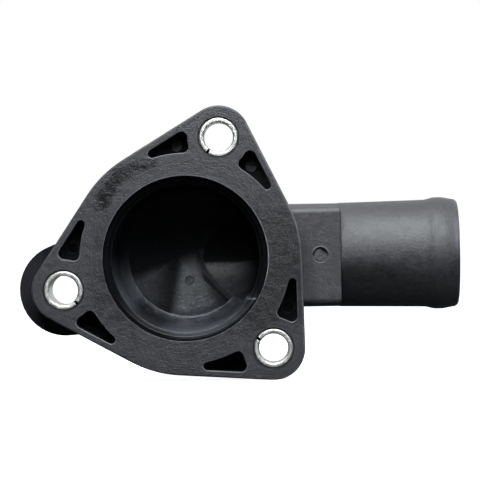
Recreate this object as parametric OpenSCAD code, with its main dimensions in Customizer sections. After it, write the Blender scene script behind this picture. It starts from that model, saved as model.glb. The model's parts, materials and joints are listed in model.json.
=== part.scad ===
// Coolant thermostat housing: a moulded cover with a three-bolt flange, a domed chamber and a hose spigot.
// The flange is vertical, with its mounting face in the XZ plane facing -Y and the chamber mouth at the origin.
// The spigot points along +X. Every shape is drawn face up, with depth along -z, and then stood upright.

/* [Flange] */
// Thickness of the flange
flange_t = 12; // [9:0.5:16]
// Diameter of the chamber mouth in the mounting face
mouth_d = 50; // [48:0.5:52]
// Width of the flange from the mouth to its round edge
flange_w = 10.3; // [9:0.1:12]
// Diameter of the bolt circle
bolt_circle_d = 76; // [72:0.5:84]
// Angle from the spigot to the first bolt
first_bolt_angle = 73.7; // [65:0.1:80]
// Radius of each rounded bolt ear
ear_r = 9.6; // [8.5:0.1:11]

/* [Pockets] */
// Depth of the cored pockets beside the bolts
pocket_depth = 9; // [5:0.5:11]
// Width of the sealing land between the mouth and the pockets
seal_w = 6.95; // [6:0.05:8]
// Rail between a pocket and the flange edge
pocket_rail = 2; // [1.2:0.1:2.5]
// Wall between a pocket and the bolt sleeve
sleeve_wall = 3.4; // [2.5:0.1:4]
// Radius of the two pocket corners at the sleeve
pocket_corner_r = 1.8; // [1.2:0.05:2]
// Radius of the narrow tip of a pocket
pocket_tip_r = 1.2; // [0.6:0.05:1.4]

/* [Chamber] */
// Depth of the flat seat behind the mouth
seat_depth = 3; // [2:0.5:6]
// Width of the cone between the seat and the narrow step
seat_cone_w = 0.85; // [0.4:0.05:1]
// Depth of the cone
seat_cone_depth = 2.2; // [1:0.1:4]
// Width of the narrow step between the cone and the chamber wall
seat_step_w = 0.35; // [0.2:0.05:0.5]
// Diameter of the chamber behind the seat
chamber_d = 45; // [42:0.5:46]
// Narrowing of the chamber radius towards the floor
chamber_draft = 0.7; // [0.2:0.1:1.2]
// Radius of the curve from the wall to the floor ledge
ledge_r = 6; // [5:0.5:7]
// Radius at which the ledge meets the domed floor
floor_r = 18.6; // [18:0.1:19.5]
// Radius of the domed floor
floor_crown_r = 26; // [24:0.5:32]
// Wall thickness of the chamber
wall_t = 3.2; // [2.5:0.1:4]
// Radius of the outer shoulder of the dome
shoulder_r = 8; // [6:0.5:10]
// Fillet between the dome and the back of the flange
root_fillet_r = 2.5; // [1:0.5:4]

/* [Spigot] */
// Bore of the spigot
spigot_bore_d = 28; // [24:0.5:29]
// Diameter of the spigot at its root
spigot_root_d = 32.2; // [31:0.1:33]
// Diameter of the spigot where its taper meets the bead
hose_land_d = 33.2; // [32:0.1:34]
// Diameter over the bead that holds the hose
bead_d = 34.6; // [34.2:0.1:36]
// Distance from the chamber axis to the end of the spigot
spigot_end = 83.8; // [78:0.1:100]
// Distance from the chamber axis to the end of the neck
neck_end = 47.3; // [44:0.1:52]
// Length of the bead with its ramp
bead_length = 10.8; // [9.8:0.1:13]
// Length of the ramp up to the crest of the bead
bead_ramp = 4; // [3:0.1:5]
// Length of the round crest of the bead
bead_land = 1.9; // [1:0.1:2.5]
// How far the bead falls off between its crest and the end of the spigot
bead_fall = 0.6; // [0.1:0.05:0.8]
// Radius of the rounded end of the spigot
spigot_lip_r = 1.6; // [1:0.1:1.9]

/* [Neck] */
// Height of the flat pad in front of the neck
pad_h = 30; // [26:0.5:31]
// Radius of the long edges of the pad
pad_edge_r = 2; // [1:0.1:3]
// Radius of the end corners of the pad
pad_corner_r = 1.3; // [0.5:0.1:2.5]
// How far the root of the spigot stands out over the neck
neck_step = 0.1; // [0.05:0.05:0.5]
// Gap between the back of the flange and the round of the neck
neck_gap = 0.35; // [0.2:0.05:1]

/* [Bracket pad] */
// Radius of the round pad behind the left ear
bracket_pad_r = 14.1; // [12:0.1:15]
// Radius of the root from which the pad's web runs out
bracket_web_r = 20; // [16:0.5:24]
// Thickness of the pad behind the left ear
bracket_pad_t = 5; // [3:0.5:8]

/* [Sleeves] */
// Outer diameter of the split bolt sleeves
sleeve_od = 12; // [11:0.1:13]
// Bore of the split bolt sleeves
sleeve_id = 8.8; // [8.4:0.1:9.2]
// Width of the seam in a sleeve
sleeve_seam = 0.7; // [0.3:0.1:1]
// Slant of the seam along the sleeve, in degrees
seam_slant = 7; // [0:0.5:10]
// Chamfer on the ends of a sleeve
sleeve_chamfer = 0.4; // [0.2:0.05:0.5]
// Clearance between a sleeve and its hole
sleeve_fit = 0.02; // [0.01:0.01:0.05]
// Chamfer at the mouth of a sleeve hole
hole_chamfer = 0.2; // [0.1:0.05:0.6]

/* [Ejector marks] */
// Diameter of the ejector mark on the neck pad
pad_mark_d = 4.7; // [3:0.1:6]
// Distance from the chamber axis to the mark on the neck pad
pad_mark_x = 41; // [40:0.1:43]
// Distance of the mark on the neck pad above the axis of the spigot
pad_mark_rise = 0.3; // [0:0.1:2]
// Diameter of the ejector marks in the pockets
pocket_mark_d = 3.4; // [2:0.1:3.8]
// Depth of the ejector marks
mark_depth = 0.55; // [0.2:0.05:0.6]
// Diameter of the gate mark on the chamber floor
gate_mark_d = 2.4; // [1.5:0.1:4]
// Distance of the gate mark below the chamber axis
gate_mark_drop = 7.6; // [4:0.1:9]

/* [Hidden] */
$fn = 96;
mouth_r = mouth_d / 2;
chamber_r = chamber_d / 2;
rim_r = mouth_r + flange_w;
bolt_r = bolt_circle_d / 2;
bolt_angles = [for (i = [0:2]) first_bolt_angle + 120 * i];
seam_angles = [232.4, 315.4, 146.8];

// The overlap that lets joined shapes run into each other
bond = 0.5;
corner_steps = 6;
arc_steps = 14;

spigot_bore_r = spigot_bore_d / 2;
spigot_root_r = spigot_root_d / 2;
hose_land_r = hose_land_d / 2;
bead_r = bead_d / 2;
neck_r = spigot_root_r - neck_step;
spigot_depth = flange_t + neck_gap + neck_r;
bead_start = spigot_end - bead_length;
bore_chamfer = 0.6;

// The floor lies a little deeper than the bore of the spigot
floor_drop = 0.4;
floor_depth = spigot_depth + spigot_bore_r + floor_drop;
back_depth = floor_depth + wall_t;
ledge_wall_r = chamber_r - chamber_draft;
floor_edge_depth = floor_depth - dome_height(floor_crown_r, floor_r);
ledge_turn = acos(1 - (ledge_wall_r - floor_r) / ledge_r);
ledge_depth = floor_edge_depth - ledge_r * sin(ledge_turn);

dome_r = chamber_r + wall_t;
dome_end_r = ledge_wall_r + wall_t;
dome_crown_r = floor_crown_r + wall_t;
shoulder_x = dome_end_r - shoulder_r;
crown_centre_depth = back_depth - dome_crown_r;
shoulder_depth = crown_centre_depth + sqrt(pow(dome_crown_r - shoulder_r, 2) - pow(shoulder_x, 2));
shoulder_turn = atan2(shoulder_depth - crown_centre_depth, shoulder_x);

// Height of a dome of this radius above a circle on it
function dome_height(radius, edge_r) = radius - sqrt(radius * radius - edge_r * edge_r);

// Points on an arc, from one angle to another
function arc(centre, radius, from, to, steps) =
    [for (i = [0:steps]) let (a = from + (to - from) * i / steps) centre + radius * [cos(a), sin(a)]];

// The same arc without its two end points
function open_arc(centre, radius, from, to, steps) =
    [for (i = [1:steps - 1]) let (a = from + (to - from) * i / steps) centre + radius * [cos(a), sin(a)]];

function angle_of(v) = atan2(v[1], v[0]);

// A round body, a round lobe at a distance from it, and the web that is tangent to both
module lobed(body_r, lobe_r, distance) {
    turn = acos((body_r - lobe_r) / distance);
    side = [cos(turn), sin(turn)];
    across = [side[0], -side[1]];
    lobe_at = [distance, 0];
    circle(body_r);
    translate(lobe_at) circle(lobe_r);
    polygon([body_r * side, lobe_at + lobe_r * side, lobe_at + lobe_r * across, body_r * across]);
}

module flange_outline() {
    for (a = bolt_angles) rotate(a) lobed(rim_r, ear_r, bolt_r);
}

// Outline of the pocket on one side of a bolt that lies on the x axis:
// a straight rail, the round wall of the sleeve and the round sealing land, with rounded corners and tip
module pocket_outline() {
    turn = acos((rim_r - ear_r) / bolt_r);
    normal = [cos(turn), sin(turn)];
    along = [-sin(turn), cos(turn)];
    bolt = [bolt_r, 0];
    inset = rim_r - pocket_rail - pocket_corner_r;
    tip_inset = rim_r - pocket_rail - pocket_tip_r;
    land_r = mouth_r + seal_w;
    land_reach = land_r + pocket_corner_r;
    tip_reach = land_r + pocket_tip_r;
    boss_r = sleeve_od / 2 + sleeve_wall;
    boss_reach = boss_r + pocket_corner_r;
    boss_foot = inset - bolt_r * cos(turn);
    rail_boss = inset * normal + (sqrt(boss_reach * boss_reach - boss_foot * boss_foot) - bolt_r * sin(turn)) * along;
    tip = tip_inset * normal - sqrt(tip_reach * tip_reach - tip_inset * tip_inset) * along;
    land_boss_x = (bolt_r * bolt_r + land_reach * land_reach - boss_reach * boss_reach) / (2 * bolt_r);
    land_boss = [land_boss_x, sqrt(land_reach * land_reach - land_boss_x * land_boss_x)];
    polygon(concat(
        arc(rail_boss, pocket_corner_r, turn, angle_of(bolt - rail_boss), corner_steps),
        open_arc(bolt, boss_r, angle_of(rail_boss - bolt), angle_of(land_boss - bolt), corner_steps),
        arc(land_boss, pocket_corner_r, angle_of(bolt - land_boss), angle_of(-land_boss), corner_steps),
        open_arc([0, 0], land_r, angle_of(land_boss), angle_of(tip), corner_steps),
        arc(tip, pocket_tip_r, angle_of(tip) + 180, turn, corner_steps)
    ));
}

// Both pockets beside one bolt, each with an ejector mark on its floor
module pocket_pair() {
    mark_r = (mouth_r + seal_w + rim_r) / 2 + pocket_mark_d / 4;
    mark_turn = acos((rim_r - ear_r) / bolt_r) * 0.42;
    for (flip = [0, 1]) mirror([0, flip]) {
        translate([0, 0, -pocket_depth]) linear_extrude(pocket_depth + bond) pocket_outline();
        rotate(mark_turn) translate([mark_r, 0, -pocket_depth - mark_depth])
            cylinder(d = pocket_mark_d, h = mark_depth + bond);
    }
}

// The plate, with the pad that reaches out behind the left ear
module flange() {
    translate([0, 0, -flange_t]) linear_extrude(flange_t) flange_outline();
    rotate(bolt_angles[1]) translate([0, 0, -flange_t - bracket_pad_t])
        linear_extrude(bracket_pad_t + bond) lobed(bracket_web_r, bracket_pad_r, bolt_r);
}

// Outside of the chamber: a fillet on the flange, a drafted wall, a shoulder and a crown
module dome() {
    fillet_at = [dome_r + root_fillet_r, -flange_t - root_fillet_r];
    rotate_extrude() polygon(concat(
        [[0, -flange_t + bond], [dome_r + root_fillet_r, -flange_t + bond]],
        arc(fillet_at, root_fillet_r, 90, 180, corner_steps),
        arc([shoulder_x, -shoulder_depth], shoulder_r, 0, -shoulder_turn, arc_steps),
        open_arc([0, -crown_centre_depth], dome_crown_r, -shoulder_turn, -90, arc_steps),
        [[0, -back_depth]]
    ));
}

// Space inside the chamber: the flat seat, its cone and step, the wall, the ledge and the domed floor
module chamber() {
    step_outer_r = chamber_r + seat_step_w;
    step_depth = seat_depth + seat_cone_depth;
    seat_inner_r = step_outer_r + seat_cone_w;
    floor_turn = acos(floor_r / floor_crown_r);
    rotate_extrude() polygon(concat(
        [[0, bond], [mouth_r, bond], [mouth_r, -seat_depth]],
        [[seat_inner_r, -seat_depth], [step_outer_r, -step_depth], [chamber_r, -step_depth]],
        arc([ledge_wall_r - ledge_r, -ledge_depth], ledge_r, 0, -ledge_turn, arc_steps),
        open_arc([0, floor_crown_r - floor_depth], floor_crown_r, -floor_turn, -90, arc_steps),
        [[0, -floor_depth]]
    ));
}

// Small round recess that the gate leaves in the floor
module gate_mark() {
    mark_floor = floor_depth - dome_height(floor_crown_r, gate_mark_drop) + mark_depth;
    translate([0, -gate_mark_drop, -mark_floor]) cylinder(d = gate_mark_d, h = mark_depth + gate_mark_d);
}

// Turns a shape that stands on z round to lie along the axis of the spigot
module on_spigot_axis() {
    translate([0, 0, -spigot_depth]) rotate([0, 90, 0]) children();
}

// Round of the neck and the flat pad in front of it
module neck() {
    pad_depth = flange_t - bond;
    pad_front = spigot_depth - pad_depth;
    half_h = pad_h / 2;
    on_spigot_axis() cylinder(r = neck_r, h = neck_end);
    intersection() {
        on_spigot_axis() linear_extrude(neck_end) polygon(concat(
            [[0, -half_h], [0, half_h]],
            arc([pad_edge_r - pad_front, half_h - pad_edge_r], pad_edge_r, 90, 180, corner_steps),
            arc([pad_edge_r - pad_front, pad_edge_r - half_h], pad_edge_r, 180, 270, corner_steps)
        ));
        translate([0, 0, -spigot_depth]) linear_extrude(pad_front + bond) polygon(concat(
            [[0, -half_h - bond], [0, half_h + bond]],
            arc([neck_end - pad_corner_r, half_h - pad_corner_r], pad_corner_r, 90, 0, corner_steps),
            arc([neck_end - pad_corner_r, pad_corner_r - half_h], pad_corner_r, 0, -90, corner_steps)
        ));
    }
}

// Outside of the spigot: a slow taper, the bead with its ramp, round crest and fall, and a rounded end
module spigot() {
    crest_end = bead_start + bead_ramp + bead_land;
    lip_at = [bead_r - bead_fall - spigot_lip_r, spigot_end - spigot_lip_r];
    ramp = [for (i = [1:arc_steps]) let (f = i / arc_steps)
        [hose_land_r + (bead_r - hose_land_r) * (1 - cos(180 * f)) / 2, bead_start + bead_ramp * f]];
    on_spigot_axis() rotate_extrude() polygon(concat(
        [[0, neck_end - bond], [spigot_root_r, neck_end - bond], [spigot_root_r, neck_end]],
        [[hose_land_r, bead_start]],
        ramp,
        [[bead_r, crest_end]],
        arc(lip_at, spigot_lip_r, 0, 90, corner_steps),
        [[0, spigot_end]]
    ));
}

// Flow path through the spigot, with a chamfer at its end
module spigot_bore() {
    on_spigot_axis() cylinder(r = spigot_bore_r, h = spigot_end + bond);
    on_spigot_axis() translate([0, 0, spigot_end - bore_chamfer])
        cylinder(r1 = spigot_bore_r, r2 = spigot_bore_r + bore_chamfer + bond, h = bore_chamfer + bond);
}

// Hole for one sleeve, chamfered at the mounting face
module sleeve_hole(length) {
    hole_r = sleeve_od / 2 + sleeve_fit;
    translate([bolt_r, 0, -length - bond]) cylinder(r = hole_r, h = length + 2 * bond);
    translate([bolt_r, 0, -hole_chamfer])
        cylinder(r1 = hole_r, r2 = hole_r + hole_chamfer + bond, h = hole_chamfer + bond);
}

// Length of the sleeve at each bolt: the left one also passes through the bracket pad
function sleeve_length(i) = i == 1 ? flange_t + bracket_pad_t : flange_t;

// The whole moulding
module housing() {
    color([0.16, 0.16, 0.17]) rotate([90, 0, 0]) difference() {
        union() {
            flange();
            dome();
            neck();
            spigot();
        }
        chamber();
        gate_mark();
        spigot_bore();
        translate([pad_mark_x, pad_mark_rise, bond - flange_t - mark_depth])
            cylinder(d = pad_mark_d, h = mark_depth + bond);
        for (i = [0:2]) rotate(bolt_angles[i]) {
            pocket_pair();
            sleeve_hole(sleeve_length(i));
        }
    }
}

// A rolled steel sleeve with chamfered ends and a slanted open seam, flush with the mounting face
module sleeve(i) {
    length = sleeve_length(i);
    outer_r = sleeve_od / 2;
    inner_r = sleeve_id / 2;
    c = sleeve_chamfer;
    color([0.76, 0.77, 0.75]) rotate([90, 0, 0]) rotate(bolt_angles[i]) translate([bolt_r, 0, 0]) difference() {
        rotate_extrude() polygon([
            [inner_r + c, 0], [outer_r - c, 0], [outer_r, -c], [outer_r, c - length],
            [outer_r - c, -length], [inner_r + c, -length], [inner_r, c - length], [inner_r, -c]
        ]);
        rotate(seam_angles[i] - bolt_angles[i]) rotate([seam_slant, 0, 0])
            translate([0, -sleeve_seam / 2, -length - 2 * bond]) cube([sleeve_od, sleeve_seam, length + 3 * bond]);
    }
}

module sleeve_top() {
    sleeve(0);
}

module sleeve_left() {
    sleeve(1);
}

module sleeve_right() {
    sleeve(2);
}

housing();
sleeve_top();
sleeve_left();
sleeve_right();
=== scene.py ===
"""Coolant thermostat housing: one black nylon moulding with three pressed-in steel sleeves."""
import json
import math

import bmesh
import bpy
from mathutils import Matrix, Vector


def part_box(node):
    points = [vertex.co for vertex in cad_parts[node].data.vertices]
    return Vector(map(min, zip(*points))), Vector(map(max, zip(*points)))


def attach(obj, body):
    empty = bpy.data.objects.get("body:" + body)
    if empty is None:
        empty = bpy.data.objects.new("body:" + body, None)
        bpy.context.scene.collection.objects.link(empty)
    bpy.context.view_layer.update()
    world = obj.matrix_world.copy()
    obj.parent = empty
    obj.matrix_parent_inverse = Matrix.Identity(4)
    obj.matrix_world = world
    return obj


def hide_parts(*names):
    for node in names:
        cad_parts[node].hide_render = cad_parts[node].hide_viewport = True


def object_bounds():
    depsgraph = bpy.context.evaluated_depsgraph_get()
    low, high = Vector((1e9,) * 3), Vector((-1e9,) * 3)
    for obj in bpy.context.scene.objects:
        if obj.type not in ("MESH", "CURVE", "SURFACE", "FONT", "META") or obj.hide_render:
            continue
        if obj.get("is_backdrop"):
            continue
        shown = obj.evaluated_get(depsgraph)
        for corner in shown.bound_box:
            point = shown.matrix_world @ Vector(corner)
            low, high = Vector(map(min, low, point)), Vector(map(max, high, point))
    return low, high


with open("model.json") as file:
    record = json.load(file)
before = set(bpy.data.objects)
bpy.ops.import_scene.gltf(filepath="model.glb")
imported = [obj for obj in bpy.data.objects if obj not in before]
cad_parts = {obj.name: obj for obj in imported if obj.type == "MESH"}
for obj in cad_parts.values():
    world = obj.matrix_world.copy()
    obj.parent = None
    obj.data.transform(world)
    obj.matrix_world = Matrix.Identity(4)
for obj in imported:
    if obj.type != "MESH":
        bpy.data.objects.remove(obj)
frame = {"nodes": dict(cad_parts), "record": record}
cad_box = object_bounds()
bpy.ops.object.select_all(action="DESELECT")

# Places taken from the frame, in millimetres
MM = 0.001
SLEEVES = ["sleeve_top", "sleeve_left", "sleeve_right"]
MOUNTS = {mount["name"]: mount for mount in frame["record"]["mounts"]}
BOLT_R = MOUNTS["flange_bolts"]["dims"]["pcd_mm"] / 2
SPIGOT_Y = MOUNTS["hose_spigot"]["pos_m"][1] / MM

# Sizes of the moulding, in millimetres
MOUTH_R = 25
RIM_R = 35.3
EAR_R = 9.6
SLEEVE_HOLE_R = 7
POCKET_DEPTH = 9
RAIL_T = 2
NECK_END = 47.3
SPIGOT_BORE_R = 14
SPIGOT_ROOT_R = 16.1
SPIGOT_END = 83.8
PAD_FRONT_Y = 11.5
SEAT_Y = 3
STEP_Y = 5.2
RECESS_CENTRE = (41, 0, 0.3)
RECESS_R = 2.35
EJECTOR_Y = 9.55
RIDGE_R, RIDGE_Y = 18.6, 34.92

# How far a facet may lie off the surface that it stands for, how far a rounded edge reaches, and how close
# two corners are to be welded, in millimetres
CHORD = 0.12
EDGE_REACH = 1
WELD = 0.001

# Radii to which the edges are rounded, in millimetres
ROUND_OUTLINE = 0.55
ROUND_MOUTH = 0.35
ROUND_MOUTH_LOW = 0.12
ROUND_STEP = 0.15
ROUND_POCKET = 0.28
ROUND_PLAIN = 0.3
ROUND_PAD = 0.14
ROUND_RECESS = 0.2
ROUND_FINE = 0.08
ROUND_HOLE = 0.12
ROUND_SLEEVE = 0.15
ROUND_STEPS = 3

# Angles from which an edge is rounded or shaded sharp, and within which triangles are joined
SHARP = math.radians(20)
SMOOTH = math.radians(35)
FLAT = math.radians(0.3)
QUAD_SKEW = math.radians(60)

# Headings in the plane of the mounting face along which the finishes and their painted light and shade
# change, and the one straight back
UP, DOWN, LEFT, RIGHT, BACK = (0, 0, 1), (0, 0, -1), (-1, 0, 0), (1, 0, 0), (0, 1, 0)
UPPER_RIGHT = (0.55, 0, 0.83)
FLOOR_SHADE_HEADING = (-0.35, 0, 0.94)
RIDGE_HEADING = (0.1, 0, -0.995)
CREASE_HEADING = (0.727, 0, 0.687)
LOW_HEADING = (-0.6, 0, -0.8)
EAR_HEADING = (0.7, 0, -0.71)
BORE_HEADING = (0.87, 0, 0.5)
RECESS_HEADING = (0.62, 0, 0.78)
SEAT_HEADING = (-0.75, 0, 0.66)

# Share of the mouth's extra rounding halfway along the upper-right heading, where the painted highlight on
# the outline's edge starts, and the middle of the chamber, inside its steps
MOUTH_WEAR = 0.4
LIGHT_EDGE_X = RIM_R * 0.7
INSIDE_STEPS_R = MOUTH_R / 2

# Shares of a face's normal by which it is told: straight to the front, leaning to the front or to the back,
# across the spigot, and round the bolt in a sleeve's seam
STRAIGHT_FRONT = -0.9
LEANS_FRONT = -0.1
LEANS_BACK = 0.5
ACROSS_SPIGOT = 0.05
SEAM_TURN = 0.8

# Finishes of the moulding, in the order of its material slots
SKIN, FACE, SEAT, STEP, WALL, FLOOR, BORE, BRACKET, POCKET, MARK, RECESS, EDGE, MOUTH_HIGHLIGHT = range(13)

# The nylon: its tint outside and a cooler tint, painted shade colour, for the chamber, pockets and marks, the
# lightness over which its tone runs from dark to light, and the ends of that run as shares of the tone
PLAIN = (1, 0.95, 1.12)
SHADE_TINT = (0.92, 0.97, 1.15)
LIGHTNESS_SPAN = (0.25, 0.75)
DARKEST, LIGHTEST = 0.35, 1.9
NYLON_IOR = 1.5

# The tones of the painted shade and of the painted highlights on it, and the share that a full painted shade
# covers
PAINTED_SHADE_TONE = 0.003
HIGHLIGHT_TONE = 0.25
PAINTED_SHADE_SHARE = 0.92

# The plated steel and its stains, and the painted shade in the seams: colours, noise over which they set in,
# and roughness
STEEL_DARK = (0.36, 0.355, 0.345, 1)
STEEL_LIGHT = (0.74, 0.73, 0.72, 1)
STEEL_STAIN = (0.36, 0.345, 0.26, 1)
STEEL_SPAN = (0.3, 0.7)
STEEL_ROUGHNESS = 0.46
STAIN_SPAN = (0.48, 0.7)
STAIN_SHARE = 0.7
SEAM_SHADE_DARK = (0.004, 0.004, 0.004, 1)
SEAM_SHADE_LIGHT = (0.02, 0.018, 0.015, 1)
SEAM_SHADE_ROUGHNESS = 0.7
SEAM_SHADE_GLOSS = 0.1

# Marks on the sealing face: the flow streaks, an arc of smear with its own centre, and the rings' wander in
# pitches. A pair, here and below, is where a mark sets in or ends, mostly in millimetres.
STREAK_TURN = math.radians(20)
STREAK_STRETCH = (0.35, 1, 1.2)
STREAK_ROUGHNESS = 0.05
SMEAR_CENTRE = (-8.7, 0, 11.9)
SMEAR_R = 17
SMEAR_ANGLE = math.radians(126)
SMEAR_HEADING = (math.cos(SMEAR_ANGLE), 0, math.sin(SMEAR_ANGLE))
SMEAR_EDGE = (0.8, 3.8)
SMEAR_ENDS = (0.66, 0.86)
SMEAR_PATCHES = (0.1, 0.45)
SMEAR_DARKNESS = 0.62
SMEAR_SHINE = 0.18
RING_WANDER = 2

# Marks on the outside: the groove at the neck's end, painted highlights on the spigot's lip and round the
# recess in the neck's pad, and painted shade under the spigot and in the recess. A loss is the share by which
# a mark fades.
GROOVE_HALF = 0.35
LIP_LENGTH = (SPIGOT_END - 2, SPIGOT_END - 0.4)
LIP_HEIGHT = (-3, 5)
LIP_CROWN = (8, 13)
LIP_CROWN_LOSS = 0.8
UNDERSIDE_START = (-0.2, 0.2)
UNDERSIDE_LENGTH = (3, 34)
UNDERSIDE_LENGTH_LOSS = 0.7
UNDERSIDE_DEPTH = (-1, 5)
UNDERSIDE_KEEL = (7, 14)
UNDERSIDE_KEEL_LOSS = 0.8
RECESS_LINE_R = RECESS_R + 0.2
RECESS_LINE_EDGE = (0.1, 0.35)
RECESS_LINE_HEIGHT = (0.3, 1.8)
RECESS_LINE_DEPTH = (14, 16)
RECESS_SHADE_HEIGHT = (-0.8, 0.6)

# Marks in the chamber: painted shade beside the light fan on its floor and in the crease beside the bore,
# painted highlights on the ridge and below the bore, and the specks, painted glints
FAN_MIDDLE = -0.15
FAN_LEAN = 0.14
FAN_HALF = 1.15
FAN_SPREAD = 0.31
FAN_EDGE = (-1.6, 2.4)
FAN_OUTSIDE = (3, 12)
FAN_OUTSIDE_LOSS = 0.6
FAN_RIGHT = (2, 6)
FAN_RIGHT_LOSS = 0.25
FAN_RIDGE_R = (16.4, 18)
FAN_RIDGE_LOW = (13, 16)
FAN_RIDGE_SHARE = 0.58
CREASE_PLACE = -1
CREASE_EDGE = (0.3, 1.6)
CREASE_START = (2, 5)
RIDGE_EDGE = (0.2, 0.8)
RIDGE_LOW = (15.6, 17.8)
RIDGE_PATCHES = (0.2, 0.6)
BORE_LINE_Z = -12.5
BORE_LINE_EDGE = (0.1, 0.4)
BORE_LINE_START = (15.8, 16.8)
BORE_LINE_SHARE = 0.8
SPECK_SPAN = (0.56, 0.7)

# The studio's floor: its height and size in metres, its tones as seen and as it lights the part, and the
# distance behind the part, in millimetres, from which it mirrors as white
STUDIO_FLOOR_Z = cad_box[0].z
STUDIO_FLOOR_SIZE = 8
STUDIO_WHITE = 0.9
STUDIO_PALE = 0.8
STUDIO_DIM = 0.05
MIRRORED_FROM = (120, 500)

# The studio's backdrop, which stands behind and above the part, and the dim room in front of it
BACKDROP_HEADING = (0, 0.8, 0.7)
BACKDROP_EDGE = (-0.1, 0.75)
BACKDROP_LIGHT = 0.6
BACKDROP_MIRRORED = 1.25
ROOM_LIGHT = 0.022
ROOM_TINT = (0.7, 0.95, 1.25, 1)

# The point that the lamps look at and the camera's place, in metres, and the camera's turn, in degrees
LAMP_TARGET = Vector((0.02, 0.02, 0))
CAMERA_PLACE = (0.02768, -0.8996, 0.01494)
CAMERA_TURN = (89.39, 1.0, 0.69)


class Socket:
    """An output of a node. Arithmetic on it adds Math nodes."""

    def __init__(self, graph, output):
        self.graph = graph
        self.output = output

    def math(self, operation, *values):
        """A Math node on these values, in the order of its inputs."""
        return self.graph.node("ShaderNodeMath", {"operation": operation}, dict(enumerate(values)))

    def __add__(self, other):
        return self.math("ADD", self, other)

    def __sub__(self, other):
        return self.math("SUBTRACT", self, other)

    def __rsub__(self, other):
        return self.math("SUBTRACT", other, self)

    def __mul__(self, other):
        return self.math("MULTIPLY", self, other)

    def __truediv__(self, other):
        return self.math("DIVIDE", self, other)

    __radd__ = __add__
    __rmul__ = __mul__

    def size(self):
        """The value without its sign."""
        return self.math("ABSOLUTE", self)

    def centred(self):
        """A noise, moved so that its middle is 0."""
        return self - 0.5

    def over(self, start, end):
        """0 before start and 1 past end, with a smooth step between them."""
        return self.graph.node("ShaderNodeMapRange", {"interpolation_type": "SMOOTHSTEP"}, {
            "Value": self, "From Min": start, "From Max": end})


class Graph:
    """The node tree of a material or of the world."""

    def __init__(self, owner):
        owner.use_nodes = True
        self.tree = owner.node_tree
        self.tree.nodes.clear()

    def node(self, kind, settings=None, sockets=None, out=0):
        """Adds a node, sets it up, fills its sockets and returns one of its outputs."""
        added = self.tree.nodes.new(kind)
        for name, value in (settings or {}).items():
            setattr(added, name, value)
        for name, value in (sockets or {}).items():
            if isinstance(value, Socket):
                self.tree.links.new(value.output, added.inputs[name])
            else:
                added.inputs[name].default_value = value
        return Socket(self, added.outputs[out]) if added.outputs else None

    def place(self, turn=(0, 0, 0), centre=(0, 0, 0), scale=(1, 1, 1)):
        """Object coordinates in millimetres from a centre, turned and stretched."""
        here = self.node("ShaderNodeTexCoord", out="Object")
        in_mm = [value / MM for value in scale]
        scaled = self.node("ShaderNodeMapping", {"vector_type": "POINT"}, {"Vector": here, "Scale": in_mm})
        moved = self.node("ShaderNodeVectorMath", {"operation": "SUBTRACT"}, {0: scaled, 1: centre})
        return self.node("ShaderNodeMapping", None, {"Vector": moved, "Rotation": turn})

    def noise(self, place, size, detail, rough):
        """Noise with features of about this size in millimetres."""
        return self.node("ShaderNodeTexNoise", None, {
            "Vector": place, "Scale": 1 / size, "Detail": detail, "Roughness": rough})

    def blend(self, amount, low, high):
        """A mix of two colours."""
        return self.node("ShaderNodeMix", {"data_type": "RGBA"}, {0: amount, 6: low, 7: high}, 2)

    def radius(self, place):
        """Distance from the line straight back through the centre of a place."""
        flat = self.node("ShaderNodeVectorMath", {"operation": "MULTIPLY"}, {0: place, 1: (1, 0, 1)})
        return self.node("ShaderNodeVectorMath", {"operation": "LENGTH"}, {0: flat}, "Value")

    def along(self, place, heading):
        """Distance along a heading."""
        product = {"operation": "DOT_PRODUCT"}
        return self.node("ShaderNodeVectorMath", product, {0: place, 1: heading}, "Value")

    def bump(self, height, depth, below=None):
        """Normals of a height from 0 to 1 that stands for this depth in millimetres."""
        sockets = {"Height": height, "Distance": depth * MM}
        if below:
            sockets["Normal"] = below
        return self.node("ShaderNodeBump", None, sockets)

    def ray(self, kind):
        """1 for a ray of this kind, 0 for others."""
        return self.node("ShaderNodeLightPath", out=f"Is {kind} Ray")

    def surface(self, shader):
        """Joins a shader to the output of the tree."""
        in_world = "Background" in shader.output.node.bl_idname
        kind = "ShaderNodeOutputWorld" if in_world else "ShaderNodeOutputMaterial"
        self.node(kind, None, {"Surface": shader})


def shade(level, tint=(1, 1, 1)):
    """A tinted grey in linear light."""
    return (*(level * part for part in tint), 1)


def select_only(piece):
    """Makes a piece the only selected and active one."""
    bpy.ops.object.select_all(action="DESELECT")
    piece.select_set(True)
    bpy.context.view_layer.objects.active = piece


def welded_copy(node, name):
    """A copy of a CAD node as one welded mesh in millimetres, with flat pairs of triangles joined into quads.
    """
    piece = bpy.data.objects.new(name, frame["nodes"][node].data.copy())
    bpy.context.collection.objects.link(piece)
    piece.data.materials.clear()
    select_only(piece)
    bpy.ops.object.mode_set(mode="EDIT")
    bpy.ops.mesh.select_all(action="SELECT")
    bpy.ops.mesh.customdata_custom_splitnormals_clear()
    bpy.ops.mesh.remove_doubles(threshold=WELD * MM)
    bpy.ops.transform.resize(value=(1 / MM,) * 3, center_override=(0, 0, 0))
    bpy.ops.mesh.tris_convert_to_quads(face_threshold=FLAT, shape_threshold=QUAD_SKEW)
    bpy.ops.object.mode_set(mode="OBJECT")
    return piece


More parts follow.
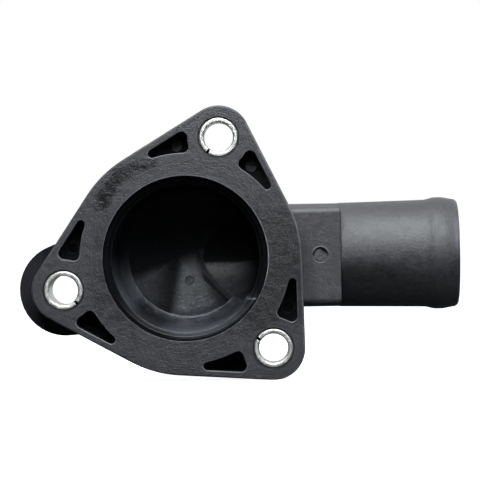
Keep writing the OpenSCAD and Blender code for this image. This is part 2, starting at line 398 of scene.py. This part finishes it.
def round_edges(piece, radius_of, widest, material=-1):
    """Rounds each edge to the radius that radius_of gives for it, and smooths the piece."""
    mesh = bmesh.new()
    mesh.from_mesh(piece.data)
    weights = [min(radius_of(edge) / widest, 1) for edge in mesh.edges]
    mesh.free()
    layer = piece.data.attributes.new("bevel_weight_edge", "FLOAT", "EDGE")
    layer.data.foreach_set("value", weights)
    rounding = piece.modifiers.new("rounded_edges", "BEVEL")
    rounding.limit_method = "WEIGHT"
    rounding.width = widest
    rounding.segments = ROUND_STEPS
    rounding.use_clamp_overlap = False
    rounding.loop_slide = False
    rounding.material = material
    select_only(piece)
    bpy.ops.object.modifier_apply(modifier=rounding.name)
    bpy.ops.object.shade_smooth_by_angle(angle=SMOOTH)
    weighing = piece.modifiers.new("even_normals", "WEIGHTED_NORMAL")
    weighing.keep_sharp = True
    bpy.ops.object.modifier_apply(modifier=weighing.name)


def back_to_metres(piece):
    """Brings a mesh from millimetres back to the size of the frame."""
    select_only(piece)
    bpy.ops.object.mode_set(mode="EDIT")
    bpy.ops.mesh.select_all(action="SELECT")
    bpy.ops.transform.resize(value=(MM,) * 3, center_override=(0, 0, 0))
    bpy.ops.object.mode_set(mode="OBJECT")


def bolt_places():
    """Centres of the three sleeves in the mounting face."""
    corners = [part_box(name) for name in SLEEVES]
    return [Vector((low.x + high.x, low.z + high.z)) / 2 / MM for low, high in corners]


BOLTS = bolt_places()


def to_bolts(x, z):
    """Distance from a point in the mounting face to the nearest bolt."""
    return min(math.hypot(x - bolt.x, z - bolt.y) for bolt in BOLTS)


def to_recess(x, z):
    """Distance from a point, seen from the front, to the centre of the recess in the neck's pad."""
    return math.hypot(x - RECESS_CENTRE[0], z - RECESS_CENTRE[2])


def outline_gap(x, z):
    """Distance from a point in the mounting face to the outline of the flange, below zero inside it."""
    turn = math.acos((RIM_R - EAR_R) / BOLT_R)
    reach = BOLT_R * math.sin(turn)
    gaps = []
    for bolt in BOLTS:
        along = bolt.normalized()
        u = x * along.x + z * along.y
        v = abs(x * along.y - z * along.x)
        step = u * math.sin(turn) - v * math.cos(turn)
        if step < 0:
            gaps.append(math.hypot(u, v) - RIM_R)
        elif step > reach:
            gaps.append(math.hypot(u - BOLT_R, v) - EAR_R)
        else:
            gaps.append(u * math.cos(turn) + v * math.sin(turn) - RIM_R)
    return min(gaps)


def inside_rail(x, z):
    """Whether a point in the mounting face lies inside the middle of the rail along the outline."""
    return outline_gap(x, z) < -RAIL_T / 2


def moulding_radius(edge):
    """Radius of an edge of the moulding, 0 where it is blunt, hollow or meets another form."""
    if not edge.is_manifold or edge.calc_face_angle_signed() < SHARP:
        return 0
    x, y, z = (edge.verts[0].co + edge.verts[1].co) / 2
    radius = math.hypot(x, z)
    in_face = abs(y) < CHORD
    if to_bolts(x, z) < SLEEVE_HOLE_R:
        return ROUND_HOLE
    if abs(y - POCKET_DEPTH) < CHORD:
        return ROUND_FINE
    if abs(x - NECK_END) < CHORD:
        return ROUND_PAD if math.hypot(y - SPIGOT_Y, z) > SPIGOT_ROOT_R + CHORD else ROUND_FINE
    if to_recess(x, z) < RECESS_R + CHORD:
        return ROUND_RECESS
    if abs(y - PAD_FRONT_Y) < CHORD and x > RIM_R:
        return ROUND_FINE
    if abs(y - SEAT_Y) < CHORD and radius < MOUTH_R:
        return ROUND_FINE
    if in_face and outline_gap(x, z) > -CHORD:
        return ROUND_OUTLINE
    if in_face and radius > MOUTH_R + CHORD:
        return ROUND_POCKET
    if in_face:
        worn = Vector(UPPER_RIGHT).dot((x, 0, z)) / MOUTH_R + MOUTH_WEAR
        return ROUND_MOUTH_LOW + (ROUND_MOUTH - ROUND_MOUTH_LOW) * min(max(worn, 0), 1)
    return ROUND_STEP if INSIDE_STEPS_R <= radius < MOUTH_R else ROUND_PLAIN


def on_ridge(point):
    """Whether a point lies on the ridge between the ledge and the domed floor of the chamber."""
    return abs(math.hypot(point.x, point.z) - RIDGE_R) < CHORD and abs(point.y - RIDGE_Y) < CHORD


def moulding_finish(face):
    """Finish of a face of the moulding, by its place and the way it looks."""
    x, y, z = face.center
    normal = face.normal
    radius = math.hypot(x, z)
    in_mouth = radius < MOUTH_R + CHORD
    inward = x * normal.x + z * normal.z < 0
    in_bore = x > 0 and abs(math.hypot(y - SPIGOT_Y, z) - SPIGOT_BORE_R) < CHORD
    if abs(y) < CHORD and normal.y < STRAIGHT_FRONT:
        return FACE
    if in_bore and abs(normal.x) < ACROSS_SPIGOT:
        return BORE
    if in_mouth and abs(y - SEAT_Y) < CHORD:
        return SEAT
    if in_mouth and CHORD < y < STEP_Y + CHORD:
        return STEP
    if to_recess(x, z) < RECESS_R - CHORD and y < SPIGOT_Y - SPIGOT_BORE_R:
        return RECESS
    if abs(y - EJECTOR_Y) < CHORD and radius > MOUTH_R and normal.y < STRAIGHT_FRONT:
        return MARK
    if in_mouth and y > CHORD and (inward or normal.y < LEANS_FRONT):
        return FLOOR if radius < RIDGE_R and y > RIDGE_Y else WALL
    if y < EJECTOR_Y and inside_rail(x, z) and to_bolts(x, z) > SLEEVE_HOLE_R:
        return POCKET
    if x < 0 and y > PAD_FRONT_Y - CHORD and outline_gap(x, z) > 0 and normal.y < LEANS_BACK:
        return BRACKET
    return SKIN


def rounded_finish(face):
    """Finish of a rounded edge: as beside it, or the painted highlight of light edges, or that of the mouth's
    edge.
    """
    x, y, z = face.center
    radius = math.hypot(x, z)
    at_front = y < EDGE_REACH
    if to_bolts(x, z) < SLEEVE_HOLE_R and at_front:
        return POCKET
    if x < 0 and abs(y - PAD_FRONT_Y) < EDGE_REACH:
        return BRACKET
    if radius < MOUTH_R - CHORD:
        return STEP if y < STEP_Y + CHORD else WALL
    if radius < MOUTH_R + EDGE_REACH and at_front:
        return MOUTH_HIGHLIGHT
    if z < 0 and to_recess(x, z) < RECESS_R + EDGE_REACH:
        return EDGE
    return EDGE if at_front and (x > LIGHT_EDGE_X or inside_rail(x, z)) else SKIN


class Look:
    """The look of a nylon surface as marks change it: lightness from 0 to 1, in places painted light and
    shade, roughness, normals, and the shares of painted shade and of painted highlight."""

    def __init__(self, name, tint, tone, roughness, gloss, mottle):
        self.material = bpy.data.materials.new(name)
        self.graph = Graph(self.material)
        self.place = self.graph.place()
        self.tint = tint
        self.tone = tone
        self.gloss = gloss
        grain = self.noise(size=0.7, detail=3, rough=0.65)
        cloud = self.noise(size=2.8, detail=4, rough=0.6)
        broad = self.noise(size=15, detail=2, rough=0.5)
        self.lightness = grain * 0.3 + cloud * 0.5 + broad * 0.2
        uneven = grain.centred() * 0.16 + cloud.centred() * 0.36 + broad.centred() * 0.2
        self.roughness = roughness + uneven * mottle
        coarse = self.graph.bump(cloud, depth=0.2 * mottle)
        self.normal = self.graph.bump(grain, depth=0.05 * mottle, below=coarse)
        # Shares of painted shade and of painted highlight, none yet
        self.painted_shade = None
        self.highlight_share = None

    def noise(self, size, detail, rough):
        """Noise on the surface, with features of about this size in millimetres."""
        return self.graph.noise(self.place, size, detail, rough)

    def along(self, heading):
        """Distance along a heading from the middle of the mouth."""
        return self.graph.along(self.place, heading)

    def radius(self):
        """Distance from the chamber's axis."""
        return self.graph.radius(self.place)

    def groove(self, height, depth):
        """Adds a relief of this depth in millimetres to the normals."""
        self.normal = self.graph.bump(height, depth, self.normal)

    def cover(self, share):
        """Covers a share of the surface with painted shade, where more isn't there already."""
        self.painted_shade = share.math("MAXIMUM", share, self.painted_shade) if self.painted_shade else share

    def paint_highlight(self, share):
        """Paints a highlight on a share of the surface, where more isn't there already."""
        self.highlight_share = share.math("MAXIMUM", share, self.highlight_share) if self.highlight_share else share

    def finish(self):
        """Makes the material: black glass-filled nylon with painted highlights in its colour and painted
        shade mixed over it.
        """
        graph, tint = self.graph, self.tint
        dark, light = shade(self.tone * DARKEST, tint), shade(self.tone * LIGHTEST, tint)
        colour = graph.blend(self.lightness.over(*LIGHTNESS_SPAN), dark, light)
        # Painted highlights: the colour blended towards a light tone
        if self.highlight_share:
            colour = graph.blend(self.highlight_share, colour, shade(HIGHLIGHT_TONE, tint))
        shader = graph.node("ShaderNodeBsdfPrincipled", None, {
            "Base Color": colour, "Roughness": self.roughness, "IOR": NYLON_IOR,
            "Specular IOR Level": self.gloss, "Normal": self.normal})
        # Painted shade: a dull dark shader mixed over the nylon
        if self.painted_shade:
            dull = graph.node("ShaderNodeBsdfDiffuse", None, {
                "Color": shade(PAINTED_SHADE_TONE, tint), "Normal": self.normal})
            shader = graph.node("ShaderNodeMixShader", None, {0: self.painted_shade, 1: shader, 2: dull})
        graph.surface(shader)
        return self.material


def streaks(look, depth):
    """Slanting flow streaks."""
    place = look.graph.place(turn=(0, STREAK_TURN, 0), scale=STREAK_STRETCH)
    flow = look.graph.noise(place, size=1.1, detail=3, rough=0.6)
    look.groove(flow, depth)
    look.roughness = look.roughness + flow.centred() * STREAK_ROUGHNESS


def smear(look):
    """An oily smear on the sealing face, an arc at its upper left."""
    place = look.graph.place(centre=SMEAR_CENTRE)
    radius = look.graph.radius(place)
    across = 1 - (radius - SMEAR_R).size().over(*SMEAR_EDGE)
    bent = (look.graph.along(place, SMEAR_HEADING) / radius).over(*SMEAR_ENDS)
    oily = across * bent * look.noise(size=3, detail=2, rough=0.5).over(*SMEAR_PATCHES)
    look.lightness = look.lightness - oily * SMEAR_DARKNESS
    look.roughness = look.roughness - oily * SMEAR_SHINE


def rings(look, depth, pitch):
    """Fine rings round the chamber, as left by turning the mould."""
    wander = look.noise(size=3, detail=3, rough=0.6) * (pitch * RING_WANDER)
    turned = look.graph.node("ShaderNodeTexNoise", {"noise_dimensions": "1D"}, {
        "W": look.radius() + wander, "Scale": 1 / pitch, "Detail": 2, "Roughness": 0.6})
    look.groove(turned, depth)


def painted_light_ramp(look, heading, start, end, share):
    """Painted light, a lighter colour that sets in along a heading, or painted shade, a darker one where the
    share is below zero.
    """
    look.lightness = look.lightness + look.along(heading).over(start, end) * share


def neck_groove(look, depth):
    """The groove at the neck's end."""
    off = (look.along(RIGHT) - NECK_END).size()
    look.groove(off.over(0, GROOVE_HALF), depth)


def lip(look, share):
    """A painted highlight on the upper half of the spigot's end, at its lip."""
    height = look.along(UP)
    upper = height.over(*LIP_HEIGHT) * (1 - height.over(*LIP_CROWN) * LIP_CROWN_LOSS)
    look.paint_highlight(look.along(RIGHT).over(*LIP_LENGTH) * upper * share)


def underside(look, share):
    """Painted shade on the underside of the spigot, most of it beside the neck."""
    length = look.along(RIGHT) - NECK_END
    depth = look.along(DOWN)
    low = depth.over(*UNDERSIDE_DEPTH) * (1 - depth.over(*UNDERSIDE_KEEL) * UNDERSIDE_KEEL_LOSS)
    fading = 1 - length.over(*UNDERSIDE_LENGTH) * UNDERSIDE_LENGTH_LOSS
    look.cover(low * length.over(*UNDERSIDE_START) * fading * share)


def recess_line(look, share):
    """A painted highlight along a line on the pad of the neck, round the upper edge of its recess."""
    graph = look.graph
    place = graph.place(centre=RECESS_CENTRE)
    off = (graph.radius(place) - RECESS_LINE_R).size()
    upper = graph.along(place, UP).over(*RECESS_LINE_HEIGHT)
    front = 1 - graph.along(place, BACK).over(*RECESS_LINE_DEPTH)
    look.paint_highlight((1 - off.over(*RECESS_LINE_EDGE)) * upper * front * share)


def recess_shade(look, start, end):
    """A painted shadow in the upper part of the neck's recess, from one radius out to another."""
    graph = look.graph
    place = graph.place(centre=RECESS_CENTRE)
    upper = graph.along(place, UP).over(*RECESS_SHADE_HEIGHT)
    look.cover(graph.radius(place).over(start, end) * upper * PAINTED_SHADE_SHARE)


def painted_shade(look, heading, start, end, ragged=0):
    """Painted shade that sets in along a heading, with a ragged edge of this width."""
    edge = look.along(heading)
    if ragged:
        edge = edge + look.noise(size=5, detail=3, rough=0.6).centred() * ragged
    look.cover(edge.over(start, end) * PAINTED_SHADE_SHARE)


def corner_shade(look, start, end):
    """Painted shade in the corner round the seat, from one radius out to another."""
    look.cover(look.radius().over(start, end) * PAINTED_SHADE_SHARE)


def fan(look, share):
    """Painted shade on the chamber's floor, beside a fan below the middle and along the lower ridge."""
    across, height = look.along(RIGHT), look.along(UP)
    off = (across - FAN_MIDDLE + height * FAN_LEAN).size()
    beside = off - FAN_HALF + height * FAN_SPREAD
    thinner = beside.over(*FAN_OUTSIDE) * FAN_OUTSIDE_LOSS + across.over(*FAN_RIGHT) * FAN_RIGHT_LOSS
    look.cover(beside.over(*FAN_EDGE) * (1 - thinner) * share)
    low = look.along(RIDGE_HEADING).over(*FAN_RIDGE_LOW)
    look.cover(look.radius().over(*FAN_RIDGE_R) * low * (share * FAN_RIDGE_SHARE))


def crease(look, share):
    """A line of painted shade across the chamber's floor, along the crease beside the spigot's bore."""
    off = (look.along(CREASE_HEADING) - CREASE_PLACE).size()
    look.cover((1 - off.over(*CREASE_EDGE)) * look.along(RIGHT).over(*CREASE_START) * share)


def ridge(look, share):
    """A painted highlight along the lower part of the ridge round the chamber's floor."""
    off = (look.radius() - RIDGE_R).size()
    low = look.along(RIDGE_HEADING).over(*RIDGE_LOW)
    patches = look.noise(size=1.2, detail=3, rough=0.6).over(*RIDGE_PATCHES)
    look.paint_highlight((1 - off.over(*RIDGE_EDGE)) * low * patches * share)


def bore_line(look):
    """A short painted highlight along a line below the spigot's bore."""
    off = (look.along(UP) - BORE_LINE_Z).size()
    length = look.along(RIGHT).over(*BORE_LINE_START)
    look.paint_highlight((1 - off.over(*BORE_LINE_EDGE)) * length * BORE_LINE_SHARE)


def specks(look, share):
    """Small light specks, painted glints."""
    look.paint_highlight(look.noise(size=1.1, detail=3, rough=0.7).over(*SPECK_SPAN) * share)


def skin():
    """The outside of the moulding, painted lighter underneath as painted light, with painted highlights and
    painted shade.
    """
    look = Look("nylon_skin", PLAIN, tone=0.016, roughness=0.56, gloss=0.6, mottle=0.8)
    neck_groove(look, depth=0.1)
    painted_light_ramp(look, DOWN, 3, 18, share=0.1)
    lip(look, share=0.35)
    recess_line(look, share=0.4)
    underside(look, share=0.5)
    return look.finish()


def sealing_face():
    """The mounting face, painted lighter towards its ears and its bottom as painted light, and darker right
    of the mouth as painted shade.
    """
    look = Look("nylon_sealing_face", PLAIN, tone=0.0125, roughness=0.48, gloss=0.46, mottle=1.35)
    streaks(look, depth=0.03)
    smear(look)
    rings(look, depth=0.05, pitch=0.4)
    painted_light_ramp(look, UP, 6, 30, share=0.5)
    painted_light_ramp(look, DOWN, 12, 30, share=0.2)
    painted_light_ramp(look, LEFT, 24, 36, share=0.36)
    painted_light_ramp(look, RIGHT, 14, 24, share=-0.16)
    painted_light_ramp(look, EAR_HEADING, 32, 42, share=0.3)
    return look.finish()


def seat():
    """The seat below the mouth, under painted shade but for its lower right, with a painted highlight below
    the bore.
    """
    look = Look("nylon_seat", SHADE_TINT, tone=0.009, roughness=0.35, gloss=0.6, mottle=0.2)
    painted_shade(look, UP, -14, -10)
    painted_shade(look, SEAT_HEADING, -20, -8)
    corner_shade(look, 24, 24.7)
    bore_line(look)
    return look.finish()


def seat_step():
    """The short walls on both sides of the seat, with painted shade above and to the lower left and a painted
    highlight below the bore.
    """
    look = Look("nylon_seat_step", SHADE_TINT, tone=0.022, roughness=0.4, gloss=0.6, mottle=0.5)
    painted_shade(look, UP, -20, -8)
    painted_light_ramp(look, LOW_HEADING, 19.5, 22.5, share=-0.35)
    bore_line(look)
    return look.finish()


def chamber_wall():
    """The cone and the ledge of the chamber, painted lighter than the skin as painted light, with painted
    shade and highlights.
    """
    look = Look("nylon_chamber_wall", SHADE_TINT, tone=0.034, roughness=0.37, gloss=0.6, mottle=0.7)
    # Painted shade above, beside the bore and to the lower left; painted light to the left and towards the
    # bottom
    painted_shade(look, UP, -13, 3, ragged=4)
    painted_shade(look, BORE_HEADING, 9, 12)
    bore_line(look)
    painted_light_ramp(look, LEFT, 13, 20, share=0.6)
    painted_light_ramp(look, DOWN, 18.5, 23, share=0.35)
    painted_light_ramp(look, LOW_HEADING, 16.5, 23.5, share=-0.35)
    ridge(look, share=0.4)
    specks(look, share=0.35)
    return look.finish()


def chamber_floor():
    """The domed floor of the chamber, painted lighter than the skin as painted light, with painted shade
    above, beside its fan and in the crease, and painted highlights.
    """
    look = Look("nylon_chamber_floor", SHADE_TINT, tone=0.04, roughness=0.37, gloss=0.6, mottle=0.9)
    rings(look, depth=0.09, pitch=0.17)
    painted_shade(look, FLOOR_SHADE_HEADING, -4.6, 1.6, ragged=2)
    painted_light_ramp(look, UP, -9, -3, share=0.35)
    fan(look, share=0.9)
    crease(look, share=0.87)
    ridge(look, share=0.4)
    specks(look, share=0.35)
    return look.finish()


def bore():
    """The bore of the spigot, painted lighter than the skin, with painted shade above and further in, and
    painted glints.
    """
    look = Look("nylon_bore", SHADE_TINT, tone=0.029, roughness=0.5, gloss=0.6, mottle=0.7)
    painted_shade(look, UP, -2.9, -1.5, ragged=0.5)
    painted_shade(look, RIGHT, 12, 22, ragged=3)
    specks(look, share=0.15)
    return look.finish()


def bracket_pad():
    """The round pad behind the left ear, dark and matte, partly as painted shade, and painted lighter towards
    the bottom as painted light.
    """
    look = Look("nylon_bracket_pad", PLAIN, tone=0.008, roughness=0.85, gloss=0.05, mottle=0.4)
    painted_light_ramp(look, DOWN, -5, 15, share=0.8)
    return look.finish()


def pocket():
    """The cored pockets and the holes of the sleeves, painted dark and dull as painted shade, and lighter
    towards the upper right as painted light.
    """
    look = Look("nylon_pocket", SHADE_TINT, tone=0.005, roughness=0.7, gloss=0.15, mottle=0.4)
    painted_light_ramp(look, UPPER_RIGHT, 24, 36, share=0.9)
    return look.finish()


def ejector_mark():
    """The ejector marks in the pockets, with painted shade on the lower ones."""
    look = Look("nylon_ejector_mark", SHADE_TINT, tone=0.034, roughness=0.5, gloss=0.6, mottle=0.6)
    painted_shade(look, DOWN, -20, -5)
    return look.finish()


def neck_recess():
    """The round recess in the neck's pad, with a painted shadow in its upper right part."""
    look = Look("nylon_neck_recess", PLAIN, tone=0.02, roughness=0.5, gloss=0.6, mottle=1.8)
    painted_shade(look, RECESS_HEADING, 26.5, 27.5)
    recess_shade(look, 1.6, 2.1)
    return look.finish()


def pocket_edges():
    """Painted highlights on the rounded edges of the pockets, of the outline's right side and of the recess's
    lower rim.
    """
    return Look("nylon_pocket_edges", PLAIN, tone=0.045, roughness=0.5, gloss=0.6, mottle=0.5).finish()


def mouth_edge_highlight():
    """The edge of the mouth, a painted highlight lighter on its upper right and darker towards the bottom,
    with painted glints.
    """
    look = Look("nylon_worn_edge", PLAIN, tone=0.07, roughness=0.5, gloss=0.6, mottle=0.5)
    painted_light_ramp(look, UPPER_RIGHT, -15, 20, share=0.3)
    painted_light_ramp(look, UP, 5, -15, share=-0.4)
    specks(look, share=0.8)
    return look.finish()


def make_housing():
    """The moulding, with rounded edges and a finish for each kind of surface."""
    piece = welded_copy("housing", "moulded_housing")
    finishes = [skin, sealing_face, seat, seat_step, chamber_wall, chamber_floor, bore, bracket_pad, pocket,
                ejector_mark, neck_recess, pocket_edges, mouth_edge_highlight]
    for finish in finishes:
        piece.data.materials.append(finish())
    for face in piece.data.polygons:
        face.material_index = moulding_finish(face)
    for edge in piece.data.edges:
        ends = [piece.data.vertices[end].co for end in edge.vertices]
        edge.use_edge_sharp = all(on_ridge(end) for end in ends)
    round_edges(piece, moulding_radius, ROUND_OUTLINE, EDGE)
    for face in piece.data.polygons:
        if face.material_index == EDGE:
            face.material_index = rounded_finish(face)
    back_to_metres(piece)
    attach(piece, "root")
    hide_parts("housing")


def plated_steel():
    """Zinc-plated steel, mottled and slightly yellow."""
    material = bpy.data.materials.new("plated_steel")
    graph = Graph(material)
    place = graph.place()
    mottle = graph.noise(place, size=0.8, detail=4, rough=0.65)
    stain = graph.noise(place, size=3, detail=3, rough=0.6).over(*STAIN_SPAN)
    fine = graph.noise(place, size=0.2, detail=2, rough=0.6)
    plate = graph.blend(mottle.over(*STEEL_SPAN), STEEL_DARK, STEEL_LIGHT)
    colour = graph.blend(stain * STAIN_SHARE, plate, STEEL_STAIN)
    roughness = STEEL_ROUGHNESS + mottle.centred() * 0.3 + fine.centred() * 0.15
    normal = graph.bump(mottle, depth=0.09, below=graph.bump(fine, depth=0.02))
    graph.surface(graph.node("ShaderNodeBsdfPrincipled", None, {
        "Base Color": colour, "Metallic": 1.0, "Roughness": roughness, "Normal": normal}))
    return material


def dark_seam():
    """The cut faces of a sleeve's seam, painted dark and dull as painted shade."""
    material = bpy.data.materials.new("steel_seam")
    graph = Graph(material)
    seam_noise = graph.noise(graph.place(), size=0.5, detail=3, rough=0.6)
    graph.surface(graph.node("ShaderNodeBsdfPrincipled", None, {
        "Base Color": graph.blend(seam_noise, SEAM_SHADE_DARK, SEAM_SHADE_LIGHT),
        "Roughness": SEAM_SHADE_ROUGHNESS + seam_noise.centred() * 0.2, "Specular IOR Level": SEAM_SHADE_GLOSS}))
    return material


def seam_side(face, bolt):
    """Whether a face of a sleeve lies in its seam: it looks round the bolt."""
    outward = (Vector((face.center.x, face.center.z)) - bolt).normalized()
    return abs(outward.x * face.normal.z - outward.y * face.normal.x) > SEAM_TURN


def sleeve_radius(edge):
    """Radius of an edge of a sleeve."""
    stands_out = edge.is_manifold and edge.calc_face_angle_signed() > SHARP
    return ROUND_SLEEVE if stands_out else 0


def make_sleeves():
    """The three split sleeves."""
    steel, cut = plated_steel(), dark_seam()
    for node, bolt in zip(SLEEVES, BOLTS):
        piece = welded_copy(node, node + "_steel")
        piece.data.materials.append(steel)
        piece.data.materials.append(cut)
        for face in piece.data.polygons:
            face.material_index = int(seam_side(face, bolt))
        round_edges(piece, sleeve_radius, ROUND_SLEEVE)
        back_to_metres(piece)
        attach(piece, "root")
        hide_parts(node)


def make_floor():
    """A pale floor that shows white in the light and keeps the shadow of the part."""
    bpy.ops.mesh.primitive_plane_add(size=STUDIO_FLOOR_SIZE, location=(0, 0, STUDIO_FLOOR_Z))
    floor = bpy.context.active_object
    floor.name = "studio_floor"
    material = bpy.data.materials.new("pale_floor")
    graph = Graph(material)
    seen = graph.ray("Camera")
    mirrored = graph.ray("Glossy") + graph.ray("Transmission")
    far_back = graph.along(graph.place(), BACK).over(*MIRRORED_FROM)
    white = graph.node("ShaderNodeEmission", None, {"Color": shade(1), "Strength": STUDIO_WHITE})
    pale = graph.node("ShaderNodeBsdfDiffuse", None, {"Color": shade(STUDIO_PALE)})
    lit = graph.node("ShaderNodeAddShader", None, {0: white, 1: pale})
    dim = graph.node("ShaderNodeBsdfDiffuse", None, {"Color": shade(STUDIO_DIM)})
    shown = seen.math("MINIMUM", seen + mirrored * far_back, 1)
    graph.surface(graph.node("ShaderNodeMixShader", None, {0: shown, 1: dim, 2: lit}))
    floor.data.materials.append(material)
    floor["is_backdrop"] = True


def make_world():
    """A white backdrop behind and above the part, and a dim room in front of it."""
    world = bpy.data.worlds.new("studio")
    bpy.context.scene.world = world
    graph = Graph(world)
    heading = graph.node("ShaderNodeTexCoord", out="Generated")
    backdrop = graph.along(heading, BACKDROP_HEADING).over(*BACKDROP_EDGE)
    room = ROOM_LIGHT + backdrop * BACKDROP_LIGHT
    straight = graph.ray("Camera") + graph.ray("Transmission")
    seen = straight + graph.ray("Glossy") * backdrop * BACKDROP_MIRRORED
    strength = seen.math("MAXIMUM", seen, room * (1 - straight))
    colour = graph.blend(seen, ROOM_TINT, shade(1))
    graph.surface(graph.node("ShaderNodeBackground", None, {"Color": colour, "Strength": strength}))


def toward(aside, off):
    """Heading at an angle off the line to the camera, turned aside from straight up, in degrees."""
    turn, tilt = math.radians(aside), math.radians(off)
    return Vector((math.sin(turn) * math.sin(tilt), -math.cos(tilt), math.cos(turn) * math.sin(tilt)))


def add_lamp(name, heading, distance, size, watts, colour):
    """A rectangular soft box at a distance along a heading from the part, turned to it."""
    lamp = bpy.data.lights.new(name, "AREA")
    lamp.shape = "RECTANGLE"
    lamp.size, lamp.size_y = size
    lamp.energy = watts
    lamp.color = colour
    holder = bpy.data.objects.new(name, lamp)
    holder.location = LAMP_TARGET + heading * distance
    holder.rotation_euler = (-heading).to_track_quat("-Z", "Y").to_euler()
    holder.visible_camera = False
    bpy.context.collection.objects.link(holder)


def make_lights():
    """A large soft box above the part, a cooler one to its right and a weak fill from the lower left."""
    add_lamp("soft_box", toward(0, 52.5), distance=0.4, size=(0.32, 0.46), watts=4.7, colour=(0.95, 0.995, 1))
    add_lamp("window", toward(58, 50), distance=0.7, size=(0.4, 0.4), watts=1.2, colour=(0.88, 0.97, 1))
    add_lamp("fill", toward(-140, 40), distance=0.8, size=(0.5, 0.5), watts=0.8, colour=(0.85, 0.93, 1))


def make_camera():
    """The camera, square on to the mounting face."""
    camera = bpy.data.cameras.new("camera")
    camera.lens = 223.8
    camera.sensor_width = 36
    camera.clip_end = 20
    holder = bpy.data.objects.new("camera", camera)
    holder.location = CAMERA_PLACE
    holder.rotation_euler = [math.radians(angle) for angle in CAMERA_TURN]
    bpy.context.collection.objects.link(holder)
    bpy.context.scene.camera = holder


make_housing()
make_sleeves()
make_floor()
make_world()
make_lights()
make_camera()
bpy.context.scene.view_settings.view_transform = "Standard"

boxes = {"cad": cad_box, "visual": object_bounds()}
{name: [list(corner) for corner in box] for name, box in boxes.items()}
